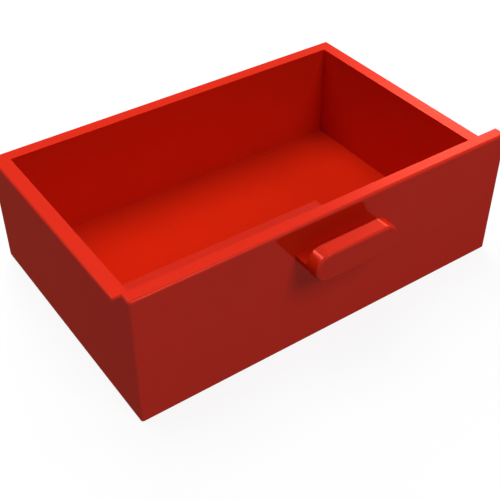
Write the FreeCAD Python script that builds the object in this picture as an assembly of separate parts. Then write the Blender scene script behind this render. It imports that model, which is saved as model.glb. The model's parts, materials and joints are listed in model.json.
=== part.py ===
"""A lone tray drawer for small parts, built up from gloss plastic sheet.

Millimetres.  X runs to the right as seen from in front of the pull, Y runs from
the front of the drawer to its back, and Z runs up.  The origin is the middle of
the underside.

Five flat panels make the tray.  Routed tongues, housings and rebates, all hidden
once the drawer is together, locate the panels while the joints are bonded.  The
pull is a round-ended plate on a half-height spacer, drawn up by two screws from
inside the drawer, which leaves a finger gap behind the upper half of the plate.
"""
import FreeCAD, Part
import math
import os

from FreeCAD import Vector

os.makedirs("parts", exist_ok=True)

# ---- the tray -------------------------------------------------------------
drawer_width = 160.0        # across the front panel
drawer_depth = 106.6        # front face to back face, without the pull
rim_height = 47.4           # underside to the rim of the sides and the back
front_rise = 7.3            # how far the front panel stands above the rim
sheet = 5.9                 # thickness of the sides, back, bottom and pull (6 mm nominal)
front_sheet = 5.1           # thickness of the front panel (5 mm nominal)
shoulder_angle = 45.0       # degrees, slope of the sides from front panel to rim
edge_round = 1.1            # softening of the outer edges and of the plate's front face

# ---- the hidden joints ----------------------------------------------------
tongue = 2.8                # thickness of a tongue and width of its housing
lap = 2.5                   # how far a tongue or the bottom panel enters a wall
housing_stop = 6.0          # a housing ends this far below the rim
bond_gap = 0.1              # room for the solvent at a tongue's or panel's free faces

# ---- the pull -------------------------------------------------------------
pull_length = 35.4          # over the round ends
pull_height = 11.4          # the ends are half circles of this diameter
pull_drop = 11.5            # middle of the pull below the front panel's top edge

# ---- its screws and washers -----------------------------------------------
screw_spacing = 18.0
thread_diameter = 2.5
point_diameter = 1.4        # the blunt end of the screw
point_length = 1.2          # its taper
head_diameter = 5.0
head_height = 1.9
head_side = 0.8             # height of the head's rim, below its dome
recess_span = 2.8           # across the cross recess
recess_slot = 0.7
recess_depth = 1.0
washer_diameter = 6.0
washer_thickness = 0.6
hole_clearance = 0.3        # on the diameter, in the washers, front panel and spacer
pilot_clearance = 0.06      # on the diameter, round the thread formed in the plate
pilot_floor = 2.1           # plate left beyond the straight wall of a pilot hole
tip_clearance = 0.4         # from the end of a screw to the end of that wall
drill_angle = 118.0         # degrees, point of the drill

# ---- planes and sizes that the pieces share -------------------------------
half_width = drawer_width / 2
inner_x = half_width - sheet
front_y = -drawer_depth / 2
back_y = drawer_depth / 2
inner_front_y = front_y + front_sheet
inner_back_y = back_y - sheet
front_height = rim_height + front_rise
housing_top = rim_height - housing_stop
shoulder_run = front_rise / math.tan(math.radians(shoulder_angle))
plate_back_y = front_y - sheet
plate_front_y = plate_back_y - sheet
pull_z = front_height - pull_drop
spacer_height = pull_height / 2
screw_z = pull_z - spacer_height / 2
head_seat_y = inner_front_y + washer_thickness
pilot_depth = sheet - pilot_floor
screw_tip_y = plate_back_y - pilot_depth + tip_clearance
clear_diameter = thread_diameter + hole_clearance
pilot_diameter = thread_diameter + pilot_clearance
same_plane = 1e-6           # planes nearer than this are one plane


# ---- helpers --------------------------------------------------------------
def block(x_range, y_range, z_range):
    """A box between two X, two Y and two Z planes."""
    spans = [high - low for low, high in (x_range, y_range, z_range)]
    corner = Vector(x_range[0], y_range[0], z_range[0])
    return Part.makeBox(spans[0], spans[1], spans[2], corner)


def rod(diameter, x, z, from_y, to_y):
    """A cylinder along Y between two Y planes."""
    return Part.makeCylinder(diameter / 2, to_y - from_y, Vector(x, from_y, z), Vector(0, 1, 0))


def mirrored(shape):
    """The same piece on the other side of the drawer."""
    return shape.mirror(Vector(0, 0, 0), Vector(1, 0, 0))


def is_at(value, plane):
    """True for a coordinate that lies in a plane."""
    return abs(value - plane) < same_plane


def lies_at_y(edge, plane):
    """True for an edge that lies wholly in the plane at this Y."""
    return all(is_at(vertex.Y, plane) for vertex in edge.Vertexes)


def middle_of(edge):
    return edge.valueAt((edge.FirstParameter + edge.LastParameter) / 2)


# ---- outer forms of the panels --------------------------------------------
def front_form():
    """The front panel, softened all round but sharp where the tray meets it."""
    plain = block((-half_width, half_width), (front_y, inner_front_y), (0, front_height))
    outer_edges = [edge for edge in plain.Edges if not lies_at_y(edge, inner_front_y)]
    return plain.makeFillet(edge_round, outer_edges)


def is_outer_tray_edge(edge):
    """True for the edges on the outside of the sides and back, away from the front panel."""
    middle = middle_of(edge)
    outside = is_at(abs(middle.x), half_width) or is_at(middle.y, back_y)
    return outside and not lies_at_y(edge, inner_front_y)


def tray_form():
    """The outside of the sides and back in one, with the shoulders that rise to the front."""
    corners = [
        Vector(-half_width, inner_front_y, 0),
        Vector(-half_width, back_y, 0),
        Vector(-half_width, back_y, rim_height),
        Vector(-half_width, inner_front_y + shoulder_run, rim_height),
        Vector(-half_width, inner_front_y, front_height),
    ]
    profile = Part.Face(Part.makePolygon(corners + corners[:1]))
    plain = profile.extrude(Vector(drawer_width, 0, 0))
    return plain.makeFillet(edge_round, [edge for edge in plain.Edges if is_outer_tray_edge(edge)])


# ---- hidden joints --------------------------------------------------------
def tongue_on(x_range, y_range):
    """A tongue that stands on the bottom panel and ends below its housing's round top."""
    return block(x_range, y_range, (sheet, housing_top - tongue))


def housing_in(x_range, y_range, cutter_axis):
    """A slot up from the underside, with the cutter's round end at its top."""
    end_z = housing_top - tongue / 2
    slot = block(x_range, y_range, (0, end_z))
    if cutter_axis.x:
        start = Vector(x_range[0], sum(y_range) / 2, end_z)
    else:
        start = Vector(sum(x_range) / 2, y_range[0], end_z)
    return slot.fuse(Part.makeCylinder(tongue / 2, lap, start, cutter_axis))


# ---- the five panels ------------------------------------------------------
def front_panel():
    """Housings for the sides, a rebate for the bottom and two holes for the screws."""
    lap_y = (inner_front_y - lap, inner_front_y)
    housing = housing_in((inner_x, inner_x + tongue), lap_y, Vector(0, 1, 0))
    rebate = block((-inner_x - lap, inner_x + lap), lap_y, (0, sheet))
    holes = [rod(clear_diameter, x, screw_z, front_y, inner_front_y) for x in screw_xs()]
    return front_form().cut([housing, mirrored(housing), rebate] + holes)


def right_side_panel(form):
    """A tongue at the front, a housing for the back panel and a rebate for the bottom."""
    wall = form.common(block((inner_x, half_width), (inner_front_y, back_y), (0, front_height)))
    front_tongue = tongue_on((inner_x, inner_x + tongue - bond_gap),
                             (inner_front_y - lap + bond_gap, inner_front_y))
    housing = housing_in((inner_x, inner_x + lap), (inner_back_y, inner_back_y + tongue),
                         Vector(1, 0, 0))
    rebate = block((inner_x, inner_x + lap), (inner_front_y, inner_back_y + lap), (0, sheet))
    return wall.fuse(front_tongue).cut([housing, rebate]).removeSplitter()


def back_panel(form):
    """Stands between the sides, with a tongue at each end and a rebate for the bottom."""
    wall = form.common(block((-inner_x, inner_x), (inner_back_y, back_y), (0, rim_height)))
    end_tongue = tongue_on((inner_x, inner_x + lap - bond_gap),
                           (inner_back_y, inner_back_y + tongue - bond_gap))
    rebate = block((-inner_x, inner_x), (inner_back_y, inner_back_y + lap), (0, sheet))
    return wall.fuse([end_tongue, mirrored(end_tongue)]).cut(rebate).removeSplitter()


def bottom_panel():
    """Lies in the rebates of the four walls, with its underside level with theirs."""
    reach = lap - bond_gap
    return block((-inner_x - reach, inner_x + reach),
                 (inner_front_y - reach, inner_back_y + reach), (0, sheet))


# ---- the pull -------------------------------------------------------------
def round_ended_bar(from_y, to_y):
    """A bar with the pull's outline between two Y planes."""
    radius = pull_height / 2
    centre_x = pull_length / 2 - radius
    top_left = Vector(-centre_x, from_y, pull_z + radius)
    top_right = Vector(centre_x, from_y, pull_z + radius)
    bottom_right = Vector(centre_x, from_y, pull_z - radius)
    bottom_left = Vector(-centre_x, from_y, pull_z - radius)
    right_tip = Vector(pull_length / 2, from_y, pull_z)
    left_tip = Vector(-pull_length / 2, from_y, pull_z)
    outline = Part.Wire([
        Part.LineSegment(top_left, top_right).toShape(),
        Part.Arc(top_right, right_tip, bottom_right).toShape(),
        Part.LineSegment(bottom_right, bottom_left).toShape(),
        Part.Arc(bottom_left, left_tip, top_left).toShape(),
    ])
    return Part.Face(outline).extrude(Vector(0, to_y - from_y, 0))


def pilot_hole(x):
    """A blind drilled hole in the back of the plate."""
    end_y = plate_back_y - pilot_depth
    point = pilot_diameter / 2 / math.tan(math.radians(drill_angle / 2))
    cone = Part.makeCone(pilot_diameter / 2, 0, point, Vector(x, end_y, screw_z), Vector(0, -1, 0))
    return rod(pilot_diameter, x, screw_z, end_y, plate_back_y).fuse(cone)


def pull_plate():
    """The part of the pull that the fingers hook behind."""
    bar = round_ended_bar(plate_front_y, plate_back_y)
    front_edges = [edge for edge in bar.Edges if lies_at_y(edge, plate_front_y)]
    return bar.makeFillet(edge_round, front_edges).cut([pilot_hole(x) for x in screw_xs()])


def pull_spacer():
    """The lower half of the same outline, between the plate and the front panel."""
    bar = round_ended_bar(plate_back_y, front_y)
    lower_half = block((-pull_length / 2, pull_length / 2), (plate_back_y, front_y),
                       (pull_z - spacer_height, pull_z))
    holes = [rod(clear_diameter, x, screw_z, plate_back_y, front_y) for x in screw_xs()]
    return bar.common(lower_half).cut(holes)


# ---- the fasteners --------------------------------------------------------
def screw_xs():
    return (-screw_spacing / 2, screw_spacing / 2)


def pan_head(top_y):
    """A domed head with a cross recess, on the Y axis, seated on its washer."""
    half_head = head_diameter / 2
    dome_height = head_height - head_side
    dome_radius = (half_head**2 + dome_height**2) / (2 * dome_height)
    dome = Part.makeSphere(dome_radius, Vector(0, top_y - dome_radius, 0))
    across = (-recess_span / 2, recess_span / 2)
    slot = (-recess_slot / 2, recess_slot / 2)
    depth = (top_y - recess_depth, top_y)
    recess = block(across, depth, slot).fuse(block(slot, depth, across))
    return rod(head_diameter, 0, 0, head_seat_y, top_y).common(dome).cut(recess)


def screw(x):
    """A pan head screw that points to the front, with its thread left plain."""
    neck_y = screw_tip_y + point_length
    head = pan_head(head_seat_y + head_height)
    shank = rod(thread_diameter, 0, 0, neck_y, head_seat_y)
    point = Part.makeCone(thread_diameter / 2, point_diameter / 2, point_length,
                          Vector(0, neck_y, 0), Vector(0, -1, 0))
    whole = head.fuse([shank, point])
    whole.translate(Vector(x, 0, screw_z))
    return whole


def washer(x):
    """A flat washer between a screw's head and the inside of the front panel."""
    disc = rod(washer_diameter, x, screw_z, inner_front_y, head_seat_y)
    return disc.cut(rod(clear_diameter, x, screw_z, inner_front_y, head_seat_y))


# ---- the whole drawer -----------------------------------------------------
def all_pieces():
    form = tray_form()
    right_side = right_side_panel(form)
    left_x, right_x = screw_xs()
    return {
        "front_panel": front_panel(),
        "left_side_panel": mirrored(right_side),
        "right_side_panel": right_side,
        "back_panel": back_panel(form),
        "bottom_panel": bottom_panel(),
        "pull_plate": pull_plate(),
        "pull_spacer": pull_spacer(),
        "left_pull_screw": screw(left_x),
        "right_pull_screw": screw(right_x),
        "left_screw_washer": washer(left_x),
        "right_screw_washer": washer(right_x),
    }


for name, piece in all_pieces().items():
    piece.exportStep("parts/" + name + ".step")
    print(name, "solids", len(piece.Solids), "valid", piece.isValid(),
          "volume", round(piece.Volume, 3))
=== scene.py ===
"""The looks of a red tray drawer: materials, camera, floor and studio light round the CAD model.

Metres, in the CAD's own frame: X right, Y from the front panel to the back panel, Z up. Angles are
in degrees, azimuth from +Y towards +X and elevation from the horizon. Colours are linear.
"""

import json
import math

import bpy
from mathutils import Matrix, Vector


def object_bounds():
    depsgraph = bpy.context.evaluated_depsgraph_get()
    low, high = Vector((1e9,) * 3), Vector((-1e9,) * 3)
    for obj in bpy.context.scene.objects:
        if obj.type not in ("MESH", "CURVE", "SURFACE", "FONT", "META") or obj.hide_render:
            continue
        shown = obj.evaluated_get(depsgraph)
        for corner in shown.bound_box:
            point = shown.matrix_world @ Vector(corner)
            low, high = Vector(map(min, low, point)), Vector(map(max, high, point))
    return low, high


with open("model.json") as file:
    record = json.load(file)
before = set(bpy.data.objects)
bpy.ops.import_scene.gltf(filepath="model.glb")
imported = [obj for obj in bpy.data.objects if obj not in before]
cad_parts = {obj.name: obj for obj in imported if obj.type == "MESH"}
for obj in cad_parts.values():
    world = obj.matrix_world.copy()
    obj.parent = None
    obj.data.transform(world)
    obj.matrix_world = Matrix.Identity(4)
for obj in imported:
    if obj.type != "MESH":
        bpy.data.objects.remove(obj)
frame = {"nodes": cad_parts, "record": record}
cad_low, cad_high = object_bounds()

# ---- values: camera -------------------------------------------------------
# It looks at the middle of the underside, to about a millimetre.
CAMERA_PLACE = Vector((-0.16574, -0.23827, 0.24392))
CAMERA_AZIMUTH = -145.0     # of the camera, as seen from the drawer
CAMERA_ELEVATION = 40.0
CAMERA_FIELD = 30.0
SENSOR_WIDTH = 36.0         # millimetres
NEAREST_SEEN = 0.01
FARTHEST_SEEN = 50.0

# ---- values: materials ----------------------------------------------------
WHITE = (1.0, 1.0, 1.0)
RED = (0.545, 0.0148, 0.0030)
ZINC = (0.56, 0.57, 0.58)
NYLON = (0.72, 0.70, 0.64)

# Each noise has a scale and a detail, and runs from a low value to a high one.
NOISE_LOW, NOISE_HIGH = 0.3, 0.7    # what a noise texture gives, nearly everywhere
PLASTIC_SHADE = (45.0, 2.0, 0.985, 1.015)
PLASTIC_ROUGHNESS = (160.0, 4.0, 0.030, 0.050)
ZINC_ROUGHNESS = (900.0, 3.0, 0.22, 0.38)
NYLON_ROUGHNESS = (700.0, 2.0, 0.4, 0.55)

# A thin coat of high index reflects about the same at all angles, in place of the shader's own
# specular layer, which would wash the sides out. The small metallic share tints the highlights.
PLASTIC_GLOSS = {
    "Metallic": 0.065,
    "Specular IOR Level": 0.0,
    "Specular Tint": (0.60, 0.43, 0.01, 1.0),
    "Coat Weight": 0.026,
    "Coat IOR": 4.0,
    "Coat Roughness": 0.01,
}

# ---- values: floor --------------------------------------------------------
FLOOR_REACH = 6.0
FLOOR_GAP = 0.00005         # keeps it clear of the underside, so that the two planes don't mix
FLOOR_SHADE = (0.10, 0.10, 0.10)    # what takes the drawer's shadow
FLOOR_GLOW = 0.88           # its own light near the drawer, where the lamps make it up to white
FLOOR_FAR_GLOW = 1.0        # and far away, where it meets the white surroundings
FADE_START = 0.5
FADE_END = 2.5
FLOOR_BOUNCE = 0.405        # the light that it throws on the drawer

# ---- values: light --------------------------------------------------------
AMBIENT = 0.01              # the world's own light on the drawer
LAMP_DISTANCE = 2.0
# softbox: azimuth, elevation, level and half angle, where the level is what the lamp alone gives
# a white surface that faces it
LAMPS = {
    "back_softbox": (20.0, 26.0, 0.80, 14.0),
    "right_softbox": (80.0, 34.0, 0.28, 14.0),
    "left_softbox": (-50.0, 68.0, 0.44, 20.0),
    "overhead_softbox": (0.0, 72.0, 0.36, 14.0),
    "front_softbox": (172.0, 50.0, 0.44, 12.0),
}
GLOW_COLOUR = (1.45, 1.0, 0.74)
# azimuth, elevation, brightness and sharpness of the soft round glows that show in gloss
GLOWS = (
    (49.8, 30.3, 8.8, 170.0),       # right
    (-32.0, 46.5, 8.0, 115.0),      # left
    (152.0, 50.0, 9.4, 115.0),      # front
)

# ---- values: node editor --------------------------------------------------
COLUMN_WIDTH = 220
ROW_HEIGHT = 260


# ---- objects and directions -----------------------------------------------
def add_object(name, data):
    made = bpy.data.objects.new(name, data)
    bpy.context.scene.collection.objects.link(made)
    return made


def toward(azimuth, elevation):
    """The unit vector that points there from the drawer."""
    turn = math.radians(azimuth)
    rise = math.radians(elevation)
    flat = math.cos(rise)
    return Vector((math.sin(turn) * flat, math.cos(turn) * flat, math.sin(rise)))


def backed_by(place, away):
    """The matrix of a camera or lamp at a place, with its back towards away."""
    return Matrix.Translation(place) @ away.to_track_quat("Z", "Y").to_matrix().to_4x4()


# ---- node trees -----------------------------------------------------------
def feed(tree, made, inputs):
    """Gives inputs of a node a value each or, for another node's output, a link."""
    for key, value in inputs.items():
        if isinstance(value, bpy.types.NodeSocket):
            tree.links.new(value, made.inputs[key])
        else:
            made.inputs[key].default_value = value


def node(tree, kind, inputs=None, **settings):
    """Adds a node and returns its outputs."""
    made = tree.nodes.new(kind)
    for key, value in settings.items():
        setattr(made, key, value)
    feed(tree, made, inputs or {})
    return made.outputs


def calculated(tree, operation, *values):
    """The result of a math node on numbers and other nodes' outputs."""
    return node(tree, "ShaderNodeMath", dict(enumerate(values)), operation=operation)[0]


def shining(tree, kind, colour, strength):
    """An emission or background shader."""
    return node(tree, kind, {"Color": (*colour, 1.0), "Strength": strength})[0]


def added(tree, first, second):
    return node(tree, "ShaderNodeAddShader", {0: first, 1: second})[0]


def mixed(tree, share, first, second):
    """The first shader where the share is 0, the second where it is 1."""
    return node(tree, "ShaderNodeMixShader", {0: share, 1: first, 2: second})[0]


def mixed_by_ray(tree, lighting, shown):
    """One shader for the rays that light the drawer, another for those that show the scene."""
    path = node(tree, "ShaderNodeLightPath")
    seen = calculated(tree, "MAXIMUM", path["Is Camera Ray"], path["Is Glossy Ray"])
    seen = calculated(tree, "MAXIMUM", seen, path["Is Transmission Ray"])
    return mixed(tree, seen, lighting, shown)


def ranged_noise(tree, scale, detail, low, high):
    """Noise over the object's own coordinates, brought to a range of values."""
    where = node(tree, "ShaderNodeTexCoord")["Object"]
    noise = node(tree, "ShaderNodeTexNoise", {"Scale": scale, "Detail": detail, "Vector": where})
    return node(tree, "ShaderNodeMapRange", {
        "Value": noise["Fac"],
        "From Min": NOISE_LOW,
        "From Max": NOISE_HIGH,
        "To Min": low,
        "To Max": high,
    })["Result"]


def lay_out(tree):
    """Puts the nodes in columns, each node to the left of those that it feeds."""
    columns = {made.name: 0 for made in tree.nodes}
    for _ in tree.nodes:
        for link in tree.links:
            beside = columns[link.to_node.name] + 1
            columns[link.from_node.name] = max(columns[link.from_node.name], beside)
    filled = {}
    for made in tree.nodes:
        column = columns[made.name]
        row = filled.get(column, 0)
        made.location = (-column * COLUMN_WIDTH, -row * ROW_HEIGHT)
        filled[column] = row + 1


# ---- materials ------------------------------------------------------------
def varied_surface(name, colour, roughness, inputs):
    """A material with noise in its roughness and the other inputs of its shader as given."""
    material = bpy.data.materials.new(name)
    material.use_nodes = True
    tree = material.node_tree
    feed(tree, tree.nodes["Principled BSDF"], {
        "Base Color": (*colour, 1.0),
        "Roughness": ranged_noise(tree, *roughness),
        **inputs,
    })
    return material


def gloss_plastic(name):
    """Polished red, a little lighter here and darker there."""
    material = varied_surface(name, RED, PLASTIC_ROUGHNESS, PLASTIC_GLOSS)
    tree = material.node_tree
    shade = ranged_noise(tree, *PLASTIC_SHADE)
    tone = node(tree, "ShaderNodeHueSaturation", {"Color": (*RED, 1.0), "Value": shade})
    feed(tree, tree.nodes["Principled BSDF"], {"Base Color": tone["Color"]})
    return material


def zinc(name):
    """Bright plated steel."""
    return varied_surface(name, ZINC, ZINC_ROUGHNESS, {"Metallic": 1.0})


def nylon(name):
    """Undyed and half matt."""
    return varied_surface(name, NYLON, NYLON_ROUGHNESS, {})


def pale_floor(name):
    """A pale floor that keeps the drawer's shadow and fades to white far away.

    It shows from above only, so that the underside can be looked at from below.
    """
    material = bpy.data.materials.new(name)
    material.use_nodes = True
    tree = material.node_tree
    tree.nodes.clear()
    where = node(tree, "ShaderNodeTexCoord")["Object"]
    distance = node(tree, "ShaderNodeVectorMath", {0: where}, operation="LENGTH")["Value"]
    glow = node(tree, "ShaderNodeMapRange", {
        "Value": distance,
        "From Min": FADE_START,
        "From Max": FADE_END,
        "To Min": FLOOR_GLOW,
        "To Max": FLOOR_FAR_GLOW,
    }, interpolation_type="SMOOTHSTEP")["Result"]
    shaded = node(tree, "ShaderNodeBsdfDiffuse", {"Color": (*FLOOR_SHADE, 1.0)})[0]
    shown = added(tree, shaded, shining(tree, "ShaderNodeEmission", WHITE, glow))
    bounce = shining(tree, "ShaderNodeEmission", WHITE, FLOOR_BOUNCE)
    above = mixed_by_ray(tree, bounce, shown)
    below = node(tree, "ShaderNodeBsdfTransparent")[0]
    from_below = node(tree, "ShaderNodeNewGeometry")["Backfacing"]
    both_sides = mixed(tree, from_below, above, below)
    node(tree, "ShaderNodeOutputMaterial", {"Surface": both_sides})
    return material


# ---- light ----------------------------------------------------------------
def glow_toward(tree, direction, azimuth, elevation, brightness, sharpness):
    """A soft round glow that falls off with the angle from its middle."""
    middle = toward(azimuth, elevation)
    inputs = {0: direction, 1: middle}
    cosine = node(tree, "ShaderNodeVectorMath", inputs, operation="DOT_PRODUCT")["Value"]
    off = calculated(tree, "SUBTRACT", cosine, 1.0)
    falling = calculated(tree, "EXPONENT", calculated(tree, "MULTIPLY", off, sharpness))
    return calculated(tree, "MULTIPLY", falling, brightness)


def studio_world(name):
    """White to the eye, nearly dark to the rays that light the drawer, with glows for gloss."""
    world = bpy.data.worlds.new(name)
    world.use_nodes = True
    tree = world.node_tree
    tree.nodes.clear()
    direction = node(tree, "ShaderNodeTexCoord")["Generated"]
    glow = 0.0
    for row in GLOWS:
        glow = calculated(tree, "ADD", glow_toward(tree, direction, *row), glow)
    glossy = node(tree, "ShaderNodeLightPath")["Is Glossy Ray"]
    in_gloss = calculated(tree, "MULTIPLY", glossy, glow)
    white = shining(tree, "ShaderNodeBackground", WHITE, 1.0)
    shown = added(tree, white, shining(tree, "ShaderNodeBackground", GLOW_COLOUR, in_gloss))
    fill = shining(tree, "ShaderNodeBackground", WHITE, AMBIENT)
    node(tree, "ShaderNodeOutputWorld", {"Surface": mixed_by_ray(tree, fill, shown)})
    return world


def add_lamp(name, azimuth, elevation, level, half_angle):
    """A square softbox for matt surfaces. The world's glows stand for it in gloss."""
    light = bpy.data.lights.new(name, "AREA")
    light.shape = "SQUARE"
    light.size = 2 * LAMP_DISTANCE * math.tan(math.radians(half_angle))
    light.energy = level * (math.pi * LAMP_DISTANCE) ** 2
    lamp = add_object(name, light)
    lamp.visible_glossy = False
    away = toward(azimuth, elevation)
    lamp.matrix_world = backed_by(away * LAMP_DISTANCE, away)


# ---- the drawer's materials -----------------------------------------------
slot_materials = {
    "panel_plastic": gloss_plastic("panel_plastic_gloss"),
    "pull_plastic": gloss_plastic("pull_plastic_gloss"),
    "screw_steel": zinc("screw_steel_zinc"),
    "washer_nylon": nylon("washer_nylon_natural"),
}
for part in frame["record"]["subparts"]:
    for slot in frame["nodes"][part["node"]].material_slots:
        slot.material = slot_materials[part["material_slot"]]

# ---- the camera -----------------------------------------------------------
camera_data = bpy.data.cameras.new("camera")
camera_data.sensor_width = SENSOR_WIDTH
camera_data.angle = math.radians(CAMERA_FIELD)
camera_data.clip_start = NEAREST_SEEN
camera_data.clip_end = FARTHEST_SEEN
camera = add_object("camera", camera_data)
camera.matrix_world = backed_by(CAMERA_PLACE, toward(CAMERA_AZIMUTH, CAMERA_ELEVATION))
bpy.context.scene.camera = camera
bpy.context.scene.view_settings.view_transform = "Standard"

# ---- the floor ------------------------------------------------------------
floor_level = cad_low[2] - FLOOR_GAP
floor_corners = [
    (x * FLOOR_REACH, y * FLOOR_REACH, floor_level)
    for x, y in ((-1, -1), (1, -1), (1, 1), (-1, 1))
]
floor_mesh = bpy.data.meshes.new("floor")
floor_mesh.from_pydata(floor_corners, [], [(0, 1, 2, 3)])
floor_mesh.materials.append(pale_floor("floor_pale"))
floor = add_object("floor", floor_mesh)

# ---- the light ------------------------------------------------------------
bpy.context.scene.world = studio_world("studio")
for name, row in LAMPS.items():
    add_lamp(name, *row)

# ---- the order of the nodes on screen -------------------------------------
for holder in (*slot_materials.values(), floor_mesh.materials[0], bpy.context.scene.world):
    lay_out(holder.node_tree)
